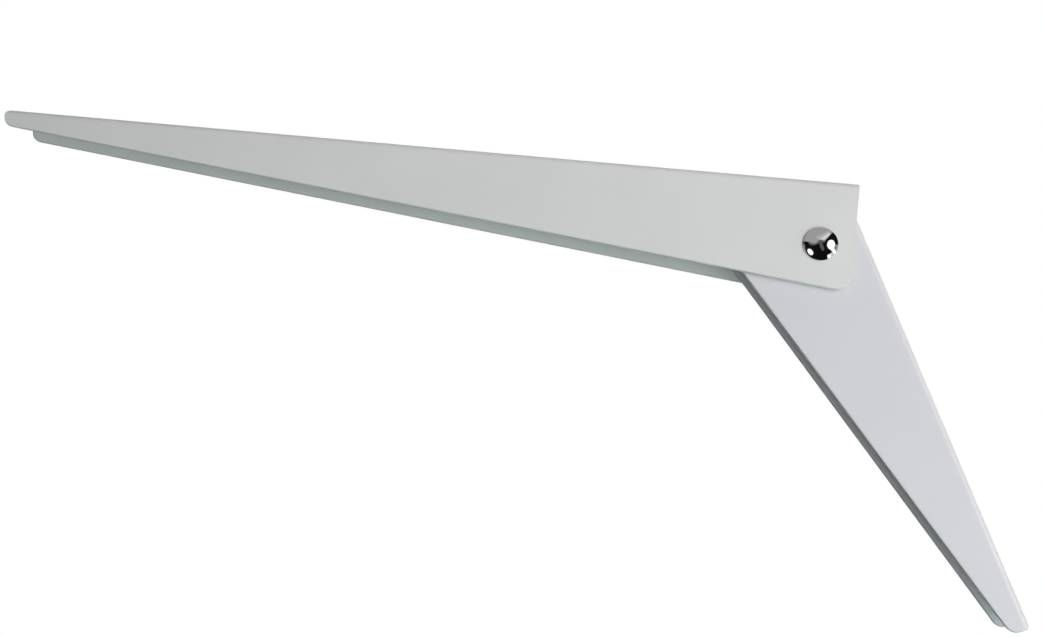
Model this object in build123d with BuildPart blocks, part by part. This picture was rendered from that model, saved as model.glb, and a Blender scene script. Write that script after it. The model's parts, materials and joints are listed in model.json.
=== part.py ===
from build123d import *
import os
from math import acos, cos, degrees, radians, sin

# Folding shelf bracket: two folded channels of sheet steel, one nested in the
# other, that swing on a single domed rivet. Millimetres, +Z up. The origin is
# on the face of the long arm that carries the shelf, above the rivet.

# Sheet
sheet = 1.5
bend_radius = 0.8

# Long arm, which carries the shelf
long_length = 345.0
long_width = 20.0
long_depth_hinge = 40.1
long_depth_tip = 7.0
long_heel_radius = 5.0
long_toe_radius = 5.0
long_nose_radius = 2.0

# Pivot, seen from the long arm
pivot_from_end = 11.6
pivot_below_face = 23.7

# Short arm, which goes on the wall
short_length = 165.0
short_depth_top = 50.4
short_depth_tip = 6.6
pivot_from_wall_face = 16.0
short_corner_radius = 3.0
short_toe_radius = 4.0
short_nose_radius = 1.6

# How far the short arm stands open past a right angle, in degrees
rest_opening = 26.6

# Fits
side_gap = 1.0
stop_gap = 0.1
swing_relief = 0.2
pin_clearance = 0.05

# Rivet, with a polished dome in front and a lower formed head behind
shank_diameter = 6.0
dome_diameter = 12.2
dome_height = 2.9
dome_rim = 0.6
rear_head_diameter = 11.0
rear_head_height = 2.2
rear_head_rim = 0.4

# Spacer sleeve between the short arm's cheeks, and a washer outside each
sleeve_diameter = 9.0
washer_diameter = 13.0

# Screw holes in the two webs, evenly spaced from the first to the last
screw_hole = 5.0
shelf_hole_count = 4
shelf_hole_from_hinge_end = 65.0
shelf_hole_from_tip = 32.5
wall_hole_count = 3
wall_hole_from_top = 58.0
wall_hole_from_tip = 17.0

# Sizes that follow from the others
hinge_end = pivot_from_end
tip_end = hinge_end - long_length
short_width = long_width - 2 * (sheet + side_gap)
short_rise = pivot_below_face - sheet - stop_gap
short_tip = short_rise - short_length
swing_radius = short_rise - swing_relief
sleeve_length = short_width - 2 * sheet
bore_radius = shank_diameter / 2 + pin_clearance
front_face = -long_width / 2
rear_face = long_width / 2
screw_hole_depth = 2 * sheet
shelf_row = long_length - shelf_hole_from_hinge_end - shelf_hole_from_tip
shelf_hole_pitch = shelf_row / (shelf_hole_count - 1)
wall_row = short_length - wall_hole_from_top - wall_hole_from_tip
wall_hole_pitch = wall_row / (wall_hole_count - 1)

# The pivot, and the planes that turn with the short arm
opening = radians(rest_opening)
wall_normal = Vector(cos(opening), 0, sin(opening))
arm_up = Vector(-sin(opening), 0, cos(opening))
pivot = Vector(0, 0, -pivot_below_face)
pivot_plane = Plane(pivot, x_dir=(1, 0, 0), z_dir=(0, -1, 0))
swing_plane = Plane(pivot, x_dir=wall_normal, z_dir=(0, -1, 0))
short_top = pivot + wall_normal * pivot_from_wall_face + arm_up * short_rise
short_section_plane = Plane(short_top, x_dir=(0, 1, 0), z_dir=-arm_up)
wall_face_plane = Plane(short_top, x_dir=(0, 1, 0), z_dir=wall_normal)


def folded_section(width, depth):
    """Section of a folded channel: its web on top at y = 0, its cheeks below."""
    with BuildSketch() as hollow:
        with Locations((0, -sheet)):
            Rectangle(width - 2 * sheet, depth, align=(Align.CENTER, Align.MAX))
        fillet(hollow.vertices().group_by(Axis.Y)[-1], bend_radius)
    with BuildSketch() as section:
        Rectangle(width, depth, align=(Align.CENTER, Align.MAX))
        fillet(section.vertices().group_by(Axis.Y)[-1], bend_radius + sheet)
        add(hollow.sketch, mode=Mode.SUBTRACT)
    return section.sketch


def round_corner(sketch, corner, radius):
    """Rounds the sketch's corner nearest to a point."""
    fillet(sketch.vertices().sort_by_distance(corner)[0], radius)


# Long arm: a channel folded along its top, its cheeks tapering to the tip
heel = (hinge_end, -long_depth_hinge)
toe = (tip_end, -long_depth_tip)
nose = (tip_end, 0)
with BuildPart() as long_arm:
    with BuildSketch(Plane.YZ.offset(hinge_end)):
        add(folded_section(long_width, long_depth_hinge))
    extrude(amount=-long_length)
    with BuildSketch(Plane.XZ) as long_side:
        with BuildLine():
            Polyline((hinge_end, 0), heel, toe, nose, close=True)
        make_face()
        round_corner(long_side, heel, long_heel_radius)
        round_corner(long_side, toe, long_toe_radius)
        round_corner(long_side, nose, long_nose_radius)
    extrude(amount=long_width, both=True, mode=Mode.INTERSECT)
    with BuildSketch(pivot_plane):
        Circle(bore_radius)
    extrude(amount=long_width, both=True, mode=Mode.SUBTRACT)
    with Locations((tip_end + shelf_hole_from_tip + shelf_row / 2, 0, 0)):
        with GridLocations(shelf_hole_pitch, 0, shelf_hole_count, 1):
            Hole(screw_hole / 2, depth=screw_hole_depth)
long_arm.part.label = "long_arm"

# Short arm: a channel folded along its wall side. Its cheeks are widest at the
# top, where their straight edge comes up against the inside of the long arm's
# web at a right angle. The corner on the wall side is round about the pivot,
# so that it passes under the web as the arm opens.
wall_end_angle = degrees(acos(pivot_from_wall_face / swing_radius))
top_edge_angle = 90 - degrees(acos(swing_radius / short_rise))
short_shoulder = (pivot_from_wall_face - short_depth_top, short_rise)
short_toe = (pivot_from_wall_face - short_depth_tip, short_tip)
short_nose = (pivot_from_wall_face, short_tip)
with BuildPart() as short_arm:
    with BuildSketch(short_section_plane):
        add(folded_section(short_width, short_depth_top))
    extrude(amount=short_length)
    with BuildSketch(swing_plane) as short_side:
        with BuildLine():
            swing_arc = CenterArc(
                (0, 0), swing_radius, wall_end_angle, top_edge_angle - wall_end_angle
            )
            Polyline(
                swing_arc @ 1,
                (0, short_rise),
                short_shoulder,
                short_toe,
                short_nose,
                swing_arc @ 0,
            )
        make_face()
        round_corner(short_side, short_shoulder, short_corner_radius)
        round_corner(short_side, short_toe, short_toe_radius)
        round_corner(short_side, short_nose, short_nose_radius)
    extrude(amount=long_width, both=True, mode=Mode.INTERSECT)
    with BuildSketch(pivot_plane):
        Circle(bore_radius)
    extrude(amount=long_width, both=True, mode=Mode.SUBTRACT)
    with Locations(wall_face_plane):
        with Locations((0, -wall_hole_from_top - wall_row / 2)):
            with GridLocations(0, wall_hole_pitch, 1, wall_hole_count):
                Hole(screw_hole / 2, depth=screw_hole_depth)
short_arm.part.label = "short_arm"

# Rivet: turned about the pivot, through both arms
shank_radius = shank_diameter / 2
dome_radius = dome_diameter / 2
rear_head_radius = rear_head_diameter / 2
dome_top = (0, front_face - dome_height)
dome_edge = (dome_radius, front_face - dome_rim)
rear_top = (0, rear_face + rear_head_height)
rear_edge = (rear_head_radius, rear_face + rear_head_rim)
with BuildPart() as pivot_rivet:
    with BuildSketch(Plane(pivot)):
        with BuildLine():
            TangentArc(dome_top, dome_edge, tangent=(1, 0))
            Polyline(
                dome_edge,
                (dome_radius, front_face),
                (shank_radius, front_face),
                (shank_radius, rear_face),
                (rear_head_radius, rear_face),
                rear_edge,
            )
            TangentArc(rear_top, rear_edge, tangent=(1, 0))
            Line(rear_top, dome_top)
        make_face()
    revolve(axis=Axis(pivot, (0, 1, 0)))
pivot_rivet.part.label = "pivot_rivet"

# Spacer sleeve: keeps the short arm's cheeks apart as the rivet is set
with BuildPart() as spacer_sleeve:
    with BuildSketch(pivot_plane):
        Circle(sleeve_diameter / 2)
        Circle(bore_radius, mode=Mode.SUBTRACT)
    extrude(amount=sleeve_length / 2, both=True)
spacer_sleeve.part.label = "spacer_sleeve"


def washer(plane, thickness):
    """Flat washer that stands on a plane across the pivot."""
    with BuildPart() as ring:
        with BuildSketch(plane):
            Circle(washer_diameter / 2)
            Circle(bore_radius, mode=Mode.SUBTRACT)
        extrude(amount=thickness)
    return ring


# Washers: fill the gap between the arms' cheeks, in front and behind
washer_front = washer(pivot_plane.offset(short_width / 2), side_gap)
washer_front.part.label = "washer_front"
washer_rear = washer(pivot_plane.offset(-short_width / 2), -side_gap)
washer_rear.part.label = "washer_rear"

os.makedirs("parts", exist_ok=True)
export_step(long_arm.part, "parts/long_arm.step")
export_step(short_arm.part, "parts/short_arm.step")
export_step(pivot_rivet.part, "parts/pivot_rivet.step")
export_step(spacer_sleeve.part, "parts/spacer_sleeve.step")
export_step(washer_front.part, "parts/washer_front.step")
export_step(washer_rear.part, "parts/washer_rear.step")
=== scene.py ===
import json
from math import asin, cos, pi, radians, sin, sqrt, tan

import bmesh
import bpy
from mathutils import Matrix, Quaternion, Vector


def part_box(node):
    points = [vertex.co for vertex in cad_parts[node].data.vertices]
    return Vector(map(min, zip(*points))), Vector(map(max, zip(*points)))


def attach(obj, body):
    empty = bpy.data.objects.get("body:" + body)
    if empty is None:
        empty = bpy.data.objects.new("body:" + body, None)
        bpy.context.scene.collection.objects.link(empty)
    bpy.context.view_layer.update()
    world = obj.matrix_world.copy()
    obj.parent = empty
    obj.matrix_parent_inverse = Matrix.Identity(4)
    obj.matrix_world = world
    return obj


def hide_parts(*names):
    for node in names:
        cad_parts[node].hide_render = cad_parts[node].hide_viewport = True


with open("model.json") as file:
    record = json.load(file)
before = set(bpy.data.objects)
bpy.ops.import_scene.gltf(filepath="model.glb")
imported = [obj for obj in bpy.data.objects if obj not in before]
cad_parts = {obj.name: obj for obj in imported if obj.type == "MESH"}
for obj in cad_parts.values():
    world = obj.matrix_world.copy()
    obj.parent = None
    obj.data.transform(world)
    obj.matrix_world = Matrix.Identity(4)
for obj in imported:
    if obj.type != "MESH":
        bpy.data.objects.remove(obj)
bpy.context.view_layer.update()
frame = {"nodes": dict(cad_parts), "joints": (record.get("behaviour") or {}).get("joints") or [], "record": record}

MM = 0.001

# Sizes of the pieces, in millimetres, where the frame doesn't give them
SHEET = 1.5
SHANK_RADIUS = 3.0
BORE_RADIUS = 3.05
DOME_RADIUS = 6.1
DOME_RIM = 0.6
REAR_HEAD_RADIUS = 5.5
REAR_HEAD_RIM = 0.4
SLEEVE_RADIUS = 4.5
WASHER_RADIUS = 6.5
SHELF_SCREWS = 4
WALL_SCREWS = 3

# Rounds on the pieces' edges, and the bead of coat at a hole, in millimetres
ROLLED_EDGE = 0.6
DOME_EDGE_ROUND = 0.3
REAR_EDGE_ROUND = 0.15
HEAD_FOOT_ROUND = 0.12
SLEEVE_RIM_ROUND = 0.25
SLEEVE_BORE_ROUND = 0.2
WASHER_RIM_ROUND = 0.18
WASHER_BORE_ROUND = 0.12
COAT_BEAD = 0.2

# Scales of the finishes, in millimetres. Real polishing rings, drawing streaks
# and nylon grain are finer still: these are as coarse as they need to be to show.
ORANGE_PEEL = 1.3
COAT_GRAIN = 0.35
COAT_CLOUDS = 28.0
POLISH_RINGS = 0.22
HANDLING_HAZE = 2.4
DRAWN_STREAK = 0.12
DRAWN_STREAK_LENGTH = 4.0
PLATING_SPANGLE = 0.9
NYLON_GRAIN = 0.25

# How deep each of them is, in millimetres
ORANGE_PEEL_DEPTH = 0.02
COAT_GRAIN_DEPTH = 0.003
POLISH_RING_DEPTH = 0.0006
DRAWN_STREAK_DEPTH = 0.004
NYLON_GRAIN_DEPTH = 0.005

# Mix node sockets for colours, which share their names with the number sockets
COLOUR_A, COLOUR_B, COLOUR_OUT = 6, 7, 2
# How far apart a Wave node's rings are at a scale of 1
WAVE_SPACING = pi / 10

# Points nearer than this, in millimetres, are one point. Faces that meet at less
# than FLAT are one face, and at more than CUT they meet at a cut edge of the
# sheet. An edge of a turned piece stays sharp from SHARP on.
SAME_POINT = 0.001
FLAT = radians(0.3)
CUT = radians(30)
SHARP = radians(40)

PIVOT = Vector(frame["joints"][0]["pos_m"])
mounts = {mount["name"]: mount for mount in frame["record"]["mounts"]}


def linear(hex_colour):
    """The linear colour that a shader takes, from an sRGB hex value."""
    channels = [int(hex_colour[i : i + 2], 16) / 255 for i in (0, 2, 4)]
    light = [
        c / 12.92 if c <= 0.04045 else ((c + 0.055) / 1.055) ** 2.4 for c in channels
    ]
    return (*light, 1.0)


def add(tree, kind, inputs=(), **properties):
    """Adds a node with its properties, and its inputs as values or links."""
    node = tree.nodes.new(kind)
    for name, value in properties.items():
        setattr(node, name, value)
    for socket, value in dict(inputs).items():
        if isinstance(value, bpy.types.NodeSocket):
            tree.links.new(value, node.inputs[socket])
        else:
            node.inputs[socket].default_value = value
    return node


def finish_material(name):
    """A new material with an empty tree."""
    material = bpy.data.materials.new(name)
    material.use_nodes = True
    material.node_tree.nodes.clear()
    return material, material.node_tree


# Powder-coated sheet steel: sprayed as a dry powder and baked, so it is satin
# with a very fine orange peel; it runs thinner where it rounds a sheet edge, and there it is painted darker as
# painted shade.
def powder_coat(name, body, cloud, painted_edge_shade):
    material, tree = finish_material(name)
    place = add(tree, "ShaderNodeTexCoord").outputs["Object"]
    clouds = add(
        tree,
        "ShaderNodeTexNoise",
        {"Vector": place, "Scale": 1 / (COAT_CLOUDS * MM), "Detail": 3.0},
    )
    cloud_share = add(
        tree,
        "ShaderNodeMapRange",
        {"Value": clouds.outputs["Fac"], "From Min": 0.35, "From Max": 0.65},
    )
    cloudy = add(
        tree,
        "ShaderNodeMix",
        {
            "Factor": cloud_share.outputs["Result"],
            COLOUR_A: linear(body),
            COLOUR_B: linear(cloud),
        },
        data_type="RGBA",
    )
    # Painted shade: the crests of the rolled sheet edges are mixed to a darker colour
    edge = add(tree, "ShaderNodeAttribute", attribute_name="painted_edge_shade_mask")
    coat = add(
        tree,
        "ShaderNodeMix",
        {
            "Factor": edge.outputs["Fac"],
            COLOUR_A: cloudy.outputs[COLOUR_OUT],
            COLOUR_B: linear(painted_edge_shade),
        },
        data_type="RGBA",
    )
    peel = add(
        tree,
        "ShaderNodeTexNoise",
        {"Vector": place, "Scale": 1 / (ORANGE_PEEL * MM), "Detail": 2.0},
    )
    grain = add(
        tree,
        "ShaderNodeTexNoise",
        {"Vector": place, "Scale": 1 / (COAT_GRAIN * MM), "Detail": 1.0},
    )
    gloss = add(
        tree,
        "ShaderNodeMapRange",
        {"Value": peel.outputs["Fac"], "To Min": 0.40, "To Max": 0.52},
    )
    peel_bump = add(
        tree,
        "ShaderNodeBump",
        {
            "Strength": 0.6,
            "Distance": ORANGE_PEEL_DEPTH * MM,
            "Height": peel.outputs["Fac"],
        },
    )
    grain_bump = add(
        tree,
        "ShaderNodeBump",
        {
            "Strength": 0.3,
            "Distance": COAT_GRAIN_DEPTH * MM,
            "Height": grain.outputs["Fac"],
            "Normal": peel_bump.outputs["Normal"],
        },
    )
    surface = add(
        tree,
        "ShaderNodeBsdfPrincipled",
        {
            "Base Color": coat.outputs[COLOUR_OUT],
            "Roughness": gloss.outputs["Result"],
            "IOR": 1.5,
            "Normal": grain_bump.outputs["Normal"],
        },
    )
    add(tree, "ShaderNodeOutputMaterial", {"Surface": surface.outputs["BSDF"]})
    return material


# Nickel-plated steel, polished: a mirror with a neutral tint, a faint haze from
# handling, and rings left by the polishing wheel round the rivet's axis.
def polished_nickel(name):
    material, tree = finish_material(name)
    place = add(tree, "ShaderNodeTexCoord").outputs["Object"]
    centred = add(
        tree,
        "ShaderNodeMapping",
        {"Vector": place, "Location": PIVOT},
        vector_type="TEXTURE",
    )
    rings = add(
        tree,
        "ShaderNodeTexWave",
        {
            "Vector": centred.outputs["Vector"],
            "Scale": WAVE_SPACING / (POLISH_RINGS * MM),
            "Distortion": 0.6,
            "Detail": 1.0,
        },
        wave_type="RINGS",
        rings_direction="Y",
    )
    haze = add(
        tree,
        "ShaderNodeTexNoise",
        {"Vector": place, "Scale": 1 / (HANDLING_HAZE * MM), "Detail": 4.0},
    )
    gloss = add(
        tree,
        "ShaderNodeMapRange",
        {
            "Value": haze.outputs["Fac"],
            "From Min": 0.4,
            "From Max": 0.75,
            "To Min": 0.05,
            "To Max": 0.11,
        },
    )
    bump = add(
        tree,
        "ShaderNodeBump",
        {
            "Strength": 0.15,
            "Distance": POLISH_RING_DEPTH * MM,
            "Height": rings.outputs["Fac"],
        },
    )
    surface = add(
        tree,
        "ShaderNodeBsdfPrincipled",
        {
            "Base Color": linear("C6C6C5"),
            "Metallic": 1.0,
            "Roughness": gloss.outputs["Result"],
            "Normal": bump.outputs["Normal"],
        },
    )
    add(tree, "ShaderNodeOutputMaterial", {"Surface": surface.outputs["BSDF"]})
    return material


# Zinc-plated drawn steel tube: a soft bluish metal with fine drawing streaks
# along its length, and slightly duller patches where the plating is thicker.
def drawn_zinc(name):
    material, tree = finish_material(name)
    place = add(tree, "ShaderNodeTexCoord").outputs["Object"]
    stretch = DRAWN_STREAK / DRAWN_STREAK_LENGTH
    along = add(
        tree, "ShaderNodeMapping", {"Vector": place, "Scale": (1.0, stretch, 1.0)}
    )
    streaks = add(
        tree,
        "ShaderNodeTexNoise",
        {
            "Vector": along.outputs["Vector"],
            "Scale": 1 / (DRAWN_STREAK * MM),
            "Detail": 2.0,
        },
    )
    spangle = add(
        tree,
        "ShaderNodeTexVoronoi",
        {"Vector": place, "Scale": 1 / (PLATING_SPANGLE * MM)},
    )
    tone = add(
        tree,
        "ShaderNodeMix",
        {
            "Factor": spangle.outputs["Distance"],
            COLOUR_A: linear("C9CDD1"),
            COLOUR_B: linear("B2B7BC"),
        },
        data_type="RGBA",
    )
    gloss = add(
        tree,
        "ShaderNodeMapRange",
        {"Value": streaks.outputs["Fac"], "To Min": 0.26, "To Max": 0.44},
    )
    bump = add(
        tree,
        "ShaderNodeBump",
        {
            "Strength": 0.4,
            "Distance": DRAWN_STREAK_DEPTH * MM,
            "Height": streaks.outputs["Fac"],
        },
    )
    surface = add(
        tree,
        "ShaderNodeBsdfPrincipled",
        {
            "Base Color": tone.outputs[COLOUR_OUT],
            "Metallic": 1.0,
            "Roughness": gloss.outputs["Result"],
            "Normal": bump.outputs["Normal"],
        },
    )
    add(tree, "ShaderNodeOutputMaterial", {"Surface": surface.outputs["BSDF"]})
    return material


# Moulded nylon: milky off-white and slightly waxy, with a fine spark-eroded grain.
def moulded_nylon(name):
    material, tree = finish_material(name)
    place = add(tree, "ShaderNodeTexCoord").outputs["Object"]
    grain = add(
        tree,
        "ShaderNodeTexNoise",
        {"Vector": place, "Scale": 1 / (NYLON_GRAIN * MM), "Detail": 3.0},
    )
    milk = add(
        tree,
        "ShaderNodeMix",
        {
            "Factor": grain.outputs["Fac"],
            COLOUR_A: linear("E9E6DA"),
            COLOUR_B: linear("DEDBCE"),
        },
        data_type="RGBA",
    )
    gloss = add(
        tree,
        "ShaderNodeMapRange",
        {"Value": grain.outputs["Fac"], "To Min": 0.42, "To Max": 0.58},
    )
    bump = add(
        tree,
        "ShaderNodeBump",
        {
            "Strength": 0.4,
            "Distance": NYLON_GRAIN_DEPTH * MM,
            "Height": grain.outputs["Fac"],
        },
    )
    surface = add(
        tree,
        "ShaderNodeBsdfPrincipled",
        {
            "Base Color": milk.outputs[COLOUR_OUT],
            "Roughness": gloss.outputs["Result"],
            "IOR": 1.53,
            "Normal": bump.outputs["Normal"],
        },
    )
    add(tree, "ShaderNodeOutputMaterial", {"Surface": surface.outputs["BSDF"]})
    return material


# One powder coat on both arms, in two copies: the short arm's is set darker to suit how it is lit, which is
# painted shade. The last colour of each is the painted shade of its rolled edges.
long_arm_coat = powder_coat("powder_coat_long_arm", "D6D8D6", "D3D5D3", "BCBFBD")
short_arm_coat = powder_coat("powder_coat_short_arm", "D0D1D4", "CECFD1", "BEC0C3")
rivet_nickel = polished_nickel("polished_nickel_rivet")
sleeve_zinc = drawn_zinc("drawn_zinc_sleeve")
washer_nylon = moulded_nylon("moulded_nylon_washer")


def show(name, mesh, material):
    """Puts a finished mesh in the scene, at the origin, in one material."""
    mesh.materials.clear()
    mesh.materials.append(material)
    piece = bpy.data.objects.new(name, mesh)
    bpy.context.scene.collection.objects.link(piece)
    return piece


def rounded_edges(node, name, material):
    """A copy of a folded arm with every cut edge of the sheet rolled over."""
    work = bmesh.new()
    work.from_mesh(frame["nodes"][node].data)
    bmesh.ops.remove_doubles(work, verts=work.verts, dist=SAME_POINT * MM)
    bmesh.ops.dissolve_limit(
        work, angle_limit=FLAT, verts=work.verts, edges=work.edges
    )
    cut_edges = [e for e in work.edges if e.calc_face_angle() > CUT]
    rolled = bmesh.ops.bevel(
        work,
        geom=cut_edges,
        offset=ROLLED_EDGE * MM,
        offset_type="OFFSET",
        segments=4,
        profile=0.5,
        affect="EDGES",
        clamp_overlap=False,
    )["faces"]
    # Painted shade: the middle of each roll is marked to take the darker edge colour
    on_roll = set(rolled)
    work.verts.index_update()
    crest = {v.index for v in work.verts if all(f in on_roll for f in v.link_faces)}
    for face in work.faces:
        face.smooth = True
    mesh = bpy.data.meshes.new(name)
    work.to_mesh(mesh)
    work.free()
    # The mask of painted shade on the crests of the rolls
    painted_edge_shade = mesh.attributes.new("painted_edge_shade_mask", "FLOAT", "POINT")
    for index in crest:
        painted_edge_shade.data[index].value = 1.0
    piece = show(name, mesh, material)
    weighted = piece.modifiers.new("weighted_normals", "WEIGHTED_NORMAL")
    weighted.keep_sharp = True
    weighted.weight = 80
    return piece


def rounded(corners, steps=5):
    """A closed profile through (radius, place, rounding) corners, in millimetres."""
    points = []
    for i, (radius, place, rounding) in enumerate(corners):
        corner = Vector((radius, place))
        if not rounding:
            points.append(corner)
            continue
        before = (Vector(corners[i - 1][:2]) - corner).normalized()
        after = (Vector(corners[(i + 1) % len(corners)][:2]) - corner).normalized()
        half = before.angle(after) / 2
        centre = corner + (before + after).normalized() * (rounding / sin(half))
        start = corner + before * (rounding / tan(half)) - centre
        turn = start.angle_signed(corner + after * (rounding / tan(half)) - centre)
        for step in range(steps + 1):
            angle = -turn * step / steps
            across = start.x * cos(angle) - start.y * sin(angle)
            along = start.x * sin(angle) + start.y * cos(angle)
            points.append(centre + Vector((across, along)))
    return points


def crown(radius, height, base, steps=28):
    """Corners of a shallow dome from its crest to its rim, which is at base."""
    ball = (radius**2 + height**2) / (2 * abs(height))
    reach = asin(radius / ball)
    side = 1 if height > 0 else -1
    return [
        (
            ball * sin(reach * step / steps),
            base + height - side * ball * (1 - cos(reach * step / steps)),
            0,
        )
        for step in range(steps + 1)
    ]


def turned(name, profile, material, around=144):
    """A piece turned about the pivot from a closed profile of (radius, place)."""
    work = bmesh.new()
    rings = []
    for radius, place in profile:
        if radius < SAME_POINT:
            rings.append([work.verts.new((PIVOT.x, place * MM, PIVOT.z))] * around)
            continue
        rings.append(
            [
                work.verts.new(
                    (
                        PIVOT.x + radius * MM * cos(2 * pi * k / around),
                        place * MM,
                        PIVOT.z + radius * MM * sin(2 * pi * k / around),
                    )
                )
                for k in range(around)
            ]
        )
    for ring, beyond in zip(rings, rings[1:] + rings[:1]):
        for k in range(around):
            m = (k + 1) % around
            corners = list(dict.fromkeys((ring[k], ring[m], beyond[m], beyond[k])))
            if len(corners) > 2:
                work.faces.new(corners).smooth = True
    bmesh.ops.recalc_face_normals(work, faces=work.faces)
    mesh = bpy.data.meshes.new(name)
    work.to_mesh(mesh)
    work.free()
    mesh.set_sharp_from_angle(angle=SHARP)
    return show(name, mesh, material)


# The two arms: folded channels, their cut edges rolled over under the coat
long_arm = rounded_edges("long_arm", "long_arm_coated", long_arm_coat)
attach(long_arm, "long_arm")
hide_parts("long_arm")

short_arm = rounded_edges("short_arm", "short_arm_coated", short_arm_coat)
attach(short_arm, "short_arm")
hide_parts("short_arm")

# The rivet, from the polished dome in front to the formed head behind
front_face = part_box("long_arm")[0].y / MM
rear_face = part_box("long_arm")[1].y / MM
dome_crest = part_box("pivot_rivet")[0].y / MM
rear_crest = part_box("pivot_rivet")[1].y / MM
dome_foot = front_face - DOME_RIM
rear_foot = rear_face + REAR_HEAD_RIM
dome = crown(DOME_RADIUS, dome_crest - dome_foot, dome_foot)
rear_head = crown(REAR_HEAD_RADIUS, rear_crest - rear_foot, rear_foot)
rivet_profile = rounded(
    [
        *dome[:-1],
        (DOME_RADIUS, dome_foot, DOME_EDGE_ROUND),
        (DOME_RADIUS, front_face, HEAD_FOOT_ROUND),
        (SHANK_RADIUS, front_face, 0),
        (SHANK_RADIUS, rear_face, 0),
        (REAR_HEAD_RADIUS, rear_face, HEAD_FOOT_ROUND),
        (REAR_HEAD_RADIUS, rear_foot, REAR_EDGE_ROUND),
        *rear_head[-2::-1],
    ]
)
rivet = turned("pivot_rivet_polished", rivet_profile, rivet_nickel)
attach(rivet, "long_arm")
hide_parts("pivot_rivet")

# The spacer sleeve and the washers, their rims broken by a small round
short_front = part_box("short_arm")[0].y / MM
short_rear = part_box("short_arm")[1].y / MM


def ring_profile(radius, start, end, rim_round, bore_round):
    """The profile of a plain ring round the rivet's shank."""
    return rounded(
        [
            (radius, start, rim_round),
            (radius, end, rim_round),
            (BORE_RADIUS, end, bore_round),
            (BORE_RADIUS, start, bore_round),
        ]
    )


sleeve_profile = ring_profile(
    SLEEVE_RADIUS,
    short_front + SHEET,
    short_rear - SHEET,
    SLEEVE_RIM_ROUND,
    SLEEVE_BORE_ROUND,
)
sleeve = turned("spacer_sleeve_plated", sleeve_profile, sleeve_zinc)
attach(sleeve, "short_arm")
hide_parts("spacer_sleeve")

for node, start, end in (
    ("washer_front", front_face + SHEET, short_front),
    ("washer_rear", short_rear, rear_face - SHEET),
):
    washer_profile = ring_profile(
        WASHER_RADIUS, start, end, WASHER_RIM_ROUND, WASHER_BORE_ROUND
    )
    washer = turned(node + "_nylon", washer_profile, washer_nylon, around=96)
    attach(washer, "long_arm")
    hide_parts(node)


# The coat draws back from a punched hole and leaves a small bead round it, on
# the inside of the web. One tree lays the beads along a row of screw holes.
def bead_tree():
    tree = bpy.data.node_groups.new("coat_beads", "GeometryNodeTree")
    for name, kind in (
        ("First Hole", "NodeSocketVector"),
        ("Pitch", "NodeSocketVector"),
        ("Facing", "NodeSocketVector"),
        ("Count", "NodeSocketInt"),
        ("Hole Radius", "NodeSocketFloat"),
        ("Bead Radius", "NodeSocketFloat"),
        ("Finish", "NodeSocketMaterial"),
    ):
        tree.interface.new_socket(name, in_out="INPUT", socket_type=kind)
    tree.interface.new_socket(
        "Geometry", in_out="OUTPUT", socket_type="NodeSocketGeometry"
    )
    given = add(tree, "NodeGroupInput").outputs
    row = add(
        tree,
        "GeometryNodeMeshLine",
        {
            "Count": given["Count"],
            "Start Location": given["First Hole"],
            "Offset": given["Pitch"],
        },
        mode="OFFSET",
    )
    rim = add(
        tree,
        "GeometryNodeCurvePrimitiveCircle",
        {"Resolution": 64, "Radius": given["Hole Radius"]},
    )
    section = add(
        tree,
        "GeometryNodeCurvePrimitiveCircle",
        {"Resolution": 12, "Radius": given["Bead Radius"]},
    )
    bead = add(
        tree,
        "GeometryNodeCurveToMesh",
        {"Curve": rim.outputs["Curve"], "Profile Curve": section.outputs["Curve"]},
    )
    turn = add(
        tree, "FunctionNodeAlignRotationToVector", {"Vector": given["Facing"]}, axis="Z"
    )
    beads = add(
        tree,
        "GeometryNodeInstanceOnPoints",
        {
            "Points": row.outputs["Mesh"],
            "Instance": bead.outputs["Mesh"],
            "Rotation": turn.outputs["Rotation"],
        },
    )
    real = add(
        tree, "GeometryNodeRealizeInstances", {"Geometry": beads.outputs["Instances"]}
    )
    coated = add(
        tree,
        "GeometryNodeSetMaterial",
        {"Geometry": real.outputs["Geometry"], "Material": given["Finish"]},
    )
    add(tree, "NodeGroupOutput", {"Geometry": coated.outputs["Geometry"]})
    return tree


coat_beads = bead_tree()


def hole_beads(name, sizes, material, body):
    """Runs the bead tree with one row's sizes and keeps the result as a plain mesh."""
    carrier = bpy.data.objects.new(name + "_row", bpy.data.meshes.new(name + "_row"))
    bpy.context.scene.collection.objects.link(carrier)
    modifier = carrier.modifiers.new("coat_beads", "NODES")
    modifier.node_group = coat_beads
    for item in coat_beads.interface.items_tree:
        if item.in_out == "INPUT":
            modifier[item.identifier] = sizes.get(item.name, material)
    seen = carrier.evaluated_get(bpy.context.evaluated_depsgraph_get())
    mesh = bpy.data.meshes.new_from_object(seen)
    bpy.data.objects.remove(carrier)
    mesh.name = name
    mesh.shade_smooth()
    piece = show(name, mesh, material)
    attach(piece, body)


def screw_row(mount, along, pitch, count):
    """Sizes of a row of beads about a mount's middle, on the inside of the web."""
    outward = Vector(mount["axis"])
    middle = Vector(mount["pos_m"]) - outward * SHEET * MM
    return {
        "First Hole": middle - along * pitch * (count - 1) / 2,
        "Pitch": along * pitch,
        "Facing": -outward,
        "Count": count,
        "Hole Radius": (mount["dims"]["hole_r_mm"] + ROLLED_EDGE) * MM,
        "Bead Radius": COAT_BEAD * MM,
    }


shelf_pitch = mounts["shelf_screws_inner"]["dims"]["spacing_x_mm"] * MM
shelf_row = screw_row(
    mounts["shelf_screws_outer"], Vector((1, 0, 0)), shelf_pitch, SHELF_SCREWS
)
hole_beads("long_arm_hole_beads", shelf_row, long_arm_coat, "long_arm")

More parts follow.
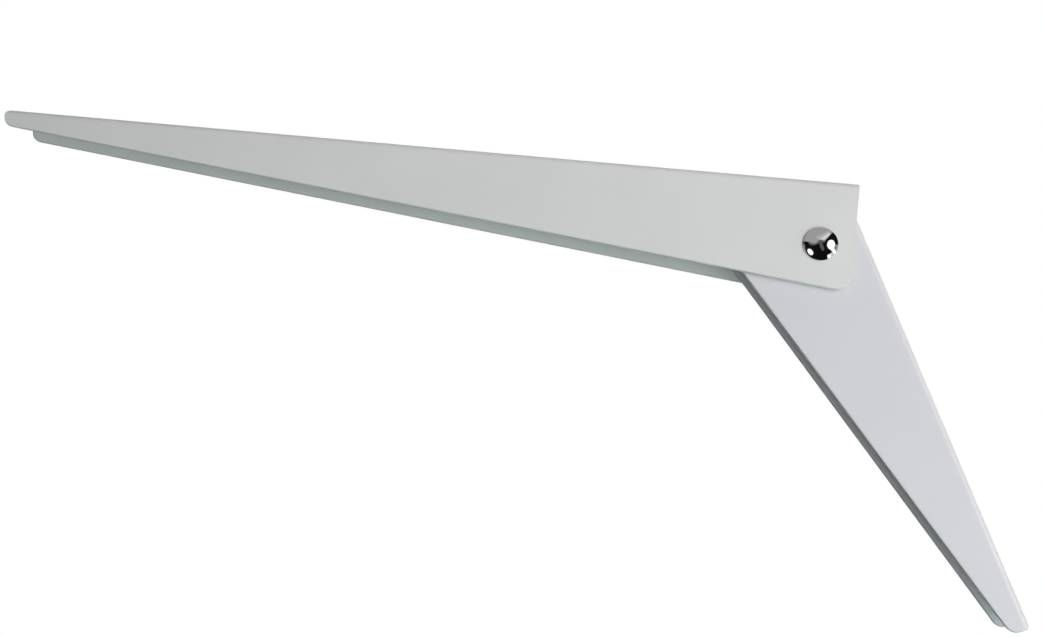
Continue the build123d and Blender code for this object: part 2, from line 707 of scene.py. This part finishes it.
wall_screws = mounts["wall_screws"]
wall_pitch = wall_screws["dims"]["pcd_mm"] / (WALL_SCREWS - 1) * MM
wall_out = Vector(wall_screws["axis"])
along_short_arm = Vector((-wall_out.z, 0, wall_out.x))
wall_row = screw_row(wall_screws, along_short_arm, wall_pitch, WALL_SCREWS)
hole_beads("short_arm_hole_beads", wall_row, short_arm_coat, "short_arm")

# Camera: close to the bracket, a little below it and left of the rivet
CAMERA_PLACE = Vector((-38.69, -361.35, -117.38)) * MM
CAMERA_AZIMUTH = radians(10.336)
CAMERA_RISE = radians(8.685)
CAMERA_ROLL = radians(8.294)
IMAGE_WIDTH = 1044
FOCAL_PIXELS = 982.27
lens = bpy.data.cameras.new("camera")
lens.sensor_width = 36.0
lens.sensor_fit = "HORIZONTAL"
lens.lens = FOCAL_PIXELS * lens.sensor_width / IMAGE_WIDTH
lens.clip_start = 0.01
lens.clip_end = 50.0
camera = bpy.data.objects.new("camera", lens)
bpy.context.scene.collection.objects.link(camera)
looking = Vector(
    (
        -sin(CAMERA_AZIMUTH) * cos(CAMERA_RISE),
        cos(CAMERA_AZIMUTH) * cos(CAMERA_RISE),
        sin(CAMERA_RISE),
    )
)
camera.location = CAMERA_PLACE
camera.rotation_mode = "QUATERNION"
camera.rotation_quaternion = looking.to_track_quat("-Z", "Y") @ Quaternion(
    (0, 0, 1), CAMERA_ROLL
)
bpy.context.scene.camera = camera
bpy.context.scene.view_settings.view_transform = "Standard"


# Studio: a pale floor that runs up into a pale wall and closes overhead, and
# soft lights, in metres and watts
COVE_RADIUS = 6.0
COVE_FLOOR = -1.8
# The share of the radius over which the floor turns up into the wall
COVE_BEND = 0.2


def glowing(name, glow):
    """An even white surface that gives its own light."""
    material, tree = finish_material(name)
    light = add(
        tree, "ShaderNodeEmission", {"Color": linear("FFFFFF"), "Strength": glow}
    )
    add(tree, "ShaderNodeOutputMaterial", {"Surface": light.outputs["Emission"]})
    return material


def quarter(steps):
    """The sine and cosine of each step round a quarter of a circle."""
    turns = [pi / 2 * step / steps for step in range(1, steps + 1)]
    return [(sin(turn), cos(turn)) for turn in turns]


def cove(bend_steps=12, vault_steps=24, around=96):
    """A round floor that curves up and closes overhead, all in one surface."""
    flat = COVE_RADIUS * (1 - COVE_BEND)
    rise = COVE_RADIUS * COVE_BEND
    profile = [(0.0, COVE_FLOOR), (flat, COVE_FLOOR)]
    profile += [
        (flat + rise * across, COVE_FLOOR + rise * (1 - up))
        for across, up in quarter(bend_steps)
    ]
    profile += [
        (COVE_RADIUS * across, COVE_FLOOR + rise + COVE_RADIUS * up)
        for up, across in quarter(vault_steps)
    ]
    work = bmesh.new()
    rings = [
        [
            work.verts.new(
                (
                    radius * cos(2 * pi * k / around),
                    radius * sin(2 * pi * k / around),
                    height,
                )
            )
            for k in range(around)
        ]
        for radius, height in profile
    ]
    for low, high in zip(rings, rings[1:]):
        for k in range(around):
            m = (k + 1) % around
            work.faces.new((low[m], low[k], high[k], high[m])).smooth = True
    bmesh.ops.remove_doubles(work, verts=work.verts, dist=SAME_POINT * MM)
    mesh = bpy.data.meshes.new("studio_cove")
    work.to_mesh(mesh)
    work.free()
    return show("studio_cove", mesh, glowing("white_cove", 1.0))


# Only the camera sees the cove: it neither lights the bracket nor shows in the dome
studio = cove()
studio.visible_diffuse = False
studio.visible_glossy = False
studio.visible_shadow = False

# What the lights are aimed at
HINGE = Vector((-0.02, 0.0, -0.05))
MIDDLE = Vector((-0.1, 0.0, -0.05))


def softbox(name, place, aim, size, power, colour, in_mirrors):
    """A soft rectangular light, which polished surfaces mirror only if it says so."""
    light = bpy.data.lights.new(name, "AREA")
    light.shape = "RECTANGLE"
    light.size, light.size_y = size
    light.energy = power
    light.color = linear(colour)[:3]
    lamp = bpy.data.objects.new(name, light)
    bpy.context.scene.collection.objects.link(lamp)
    lamp.location = place
    lamp.rotation_mode = "QUATERNION"
    lamp.rotation_quaternion = (aim - Vector(place)).to_track_quat("-Z", "Y")
    lamp.visible_glossy = in_mirrors


for name, place, aim, size, power, colour, in_mirrors in (
    ("low_light", (0.6, -1.0, -0.7), MIDDLE, (1.2, 0.9), 12.0, "EFFFFC", False),
    ("near_light", (0.55, -0.75, 0.1), HINGE, (0.6, 0.6), 3.3, "FFE6EB", False),
    ("front_light", (0.15, -1.3, 0.05), MIDDLE, (1.0, 0.8), 3.8, "F7F7FF", False),
    ("floor_light", (0.8, -0.4, -1.1), MIDDLE, (1.4, 1.0), 4.2, "FFFFFF", False),
    ("side_light", (1.4, -0.15, -0.05), HINGE, (0.9, 0.9), 5.0, "FFFFFF", False),
    ("left_light", (-1.9, -2.1, -0.5), HINGE, (0.5, 0.5), 3.4, "FFFFFF", False),
    ("top_light", (-0.1, 0.2, 1.5), MIDDLE, (1.4, 1.0), 9.0, "FFFFFF", False),
    ("back_light", (-0.2, 1.5, 0.4), MIDDLE, (1.6, 1.2), 29.0, "FFFFFF", True),
):
    softbox(name, place, aim, size, power, colour, in_mirrors)

world = bpy.data.worlds.new("studio_air")
bpy.context.scene.world = world
world.use_nodes = True
world.node_tree.nodes.clear()
air = add(
    world.node_tree,
    "ShaderNodeBackground",
    {"Color": linear("161616"), "Strength": 1.0},
)
add(world.node_tree, "ShaderNodeOutputWorld", {"Surface": air.outputs["Background"]})

# Cards that only polished surfaces mirror, placed by where the dome's picture
# shows them: across and down from the dome's middle, as shares of its radius
DOME_MIDDLE = Vector((PIVOT.x, dome_foot * MM, PIVOT.z))
dome_rise = (dome_foot - dome_crest) * MM
dome_ball = ((DOME_RADIUS * MM) ** 2 + dome_rise**2) / (2 * dome_rise)
ball_centre = DOME_MIDDLE + Vector((0, dome_ball - dome_rise, 0))
screen_right = camera.rotation_quaternion @ Vector((1, 0, 0))
screen_down = camera.rotation_quaternion @ Vector((0, -1, 0))


def mirrored(across, down):
    """The direction in which a point of the dome's picture mirrors the studio."""
    seen = DOME_MIDDLE + (screen_right * across + screen_down * down) * DOME_RADIUS * MM
    ray = (seen - CAMERA_PLACE).normalized()
    to_ball = ball_centre - CAMERA_PLACE
    halfway = to_ball.dot(ray)
    miss = to_ball.length_squared - halfway**2
    hit = CAMERA_PLACE + ray * (halfway - sqrt(max(0.0, dome_ball**2 - miss)))
    return ray.reflect((hit - ball_centre).normalized())


def on_dome(corners, distance):
    """Places round the dome whose mirror images on it are these corners."""
    return [DOME_MIDDLE + mirrored(*corner) * distance for corner in corners]


def card(name, corners, glow):
    """A flat glowing card with these corners, seen only in polished surfaces."""
    work = bmesh.new()
    outline = work.faces.new([work.verts.new(corner) for corner in corners])
    bmesh.ops.triangulate(work, faces=[outline])
    mesh = bpy.data.meshes.new(name)
    work.to_mesh(mesh)
    work.free()
    piece = show(name, mesh, glowing(name + "_glow", glow))
    piece.visible_camera = False
    piece.visible_diffuse = False
    piece.visible_shadow = False


def oval(across, down, wide, high, turn=0.0, count=20):
    """Corners of an oval on the dome, turned by some degrees."""
    lean = radians(turn)
    return [
        (
            across + wide * cos(a) * cos(lean) - high * sin(a) * sin(lean),
            down + wide * cos(a) * sin(lean) + high * sin(a) * cos(lean),
        )
        for a in (2 * pi * k / count for k in range(count))
    ]


# The room that the dome mirrors: a wall with a soft streak of light on it and a
# darker foot, parts of other walls low down and at the rims, and bright windows
WALL = [
    (-1.0, -0.13), (-0.91, -0.13), (-0.71, -0.11), (-0.59, -0.05), (-0.5, -0.03),
    (-0.37, 0.0), (-0.21, -0.05), (-0.14, -0.17), (0.02, -0.22), (0.18, -0.16),
    (0.27, -0.2), (0.41, -0.34), (0.54, -0.48), (0.68, -0.64), (0.75, -0.7),
    (0.6, -0.82), (0.3, -0.97), (0.0, -1.02), (-0.3, -0.97), (-0.6, -0.82),
    (-0.85, -0.55), (-0.98, -0.3),
]
WALL_FOOT = [
    (-0.74, -0.1), (-0.6, -0.05), (-0.37, -0.02), (-0.14, -0.18), (0.1, -0.2),
    (0.28, -0.2), (0.26, -0.1), (0.12, -0.04), (-0.08, -0.02), (-0.26, 0.06),
    (-0.5, 0.12), (-0.66, 0.04),
]
STREAK_GLOW = [
    (-0.3, -0.36), (-0.12, -0.24), (0.1, -0.2), (0.26, -0.22), (0.38, -0.36),
    (0.56, -0.56), (0.5, -0.74), (0.24, -0.62), (-0.04, -0.5),
]
STREAK = [
    (-0.02, -0.28), (0.12, -0.24), (0.26, -0.24), (0.38, -0.37), (0.54, -0.55),
    (0.48, -0.64), (0.34, -0.54), (0.18, -0.42), (0.06, -0.35),
]
LOW_WALL = [
    (0.66, 0.48), (0.78, 0.6), (0.9, 0.66), (0.97, 0.42), (1.03, 0.2), (1.05, 0.5),
    (0.85, 0.8), (0.55, 1.0), (0.38, 1.02), (0.37, 0.9), (0.45, 0.66),
]
RIGHT_WALL = [
    (0.87, 0.12), (0.98, 0.02), (1.08, 0.03), (1.08, 0.3), (0.93, 0.46), (0.84, 0.36),
]
LEFT_RIM = [
    (-1.02, 0.02), (-0.93, 0.05), (-0.9, 0.3), (-0.8, 0.55), (-0.62, 0.76),
    (-0.7, 0.8), (-0.92, 0.55), (-1.02, 0.3),
]
WINDOW = oval(0.61, 0.06, 0.23, 0.28)
WINDOW_TAIL = [(0.45, 0.24), (0.72, 0.22), (0.93, 0.55), (0.88, 0.64), (0.78, 0.6)]
LOW_RIGHT_WINDOW = oval(0.5, 0.74, 0.11, 0.12)
LOW_LEFT_WINDOW = oval(-0.6, 0.48, 0.21, 0.13, turn=50.0)
DIM_ROOM = oval(0.07, 0.18, 0.25, 0.1, turn=68.0)

# Each card's distance from the dome, in metres, and its glow. The nearer of two
# cards hides the other.
for name, corners, distance, glow in (
    ("wall_card", WALL, 3.0, 0.55),
    ("wall_foot_card", WALL_FOOT, 3.1, 0.16),
    ("streak_glow_card", STREAK_GLOW, 1.3, 0.72),
    ("wall_streak_card", STREAK, 1.2, 1.15),
    ("low_wall_card", LOW_WALL, 3.0, 1.0),
    ("right_wall_card", RIGHT_WALL, 2.9, 0.5),
    ("left_rim_card", LEFT_RIM, 3.0, 0.45),
    ("window_card", WINDOW, 2.6, 2.2),
    ("window_tail_card", WINDOW_TAIL, 2.7, 2.2),
    ("low_right_card", LOW_RIGHT_WINDOW, 2.6, 2.2),
    ("low_left_card", LOW_LEFT_WINDOW, 2.6, 2.2),
    ("room_card", DIM_ROOM, 2.9, 0.16),
):
    card(name, on_dome(corners, distance), glow)

# Two more stand behind, for the formed head: a wall, and the floor before it.
# Each runs between two level edges, given by their y and z.
REAR_CARD_REACH = 6.0
for name, (foot_y, foot_z), (top_y, top_z), glow in (
    ("rear_wall_card", (3.0, -0.2), (3.0, 5.0), 0.42),
    ("rear_floor_card", (3.0, -1.4), (0.5, -1.4), 0.3),
):
    rear_corners = [
        (REAR_CARD_REACH, foot_y, foot_z),
        (-REAR_CARD_REACH, foot_y, foot_z),
        (-REAR_CARD_REACH, top_y, top_z),
        (REAR_CARD_REACH, top_y, top_z),
    ]
    card(name, rear_corners, glow)
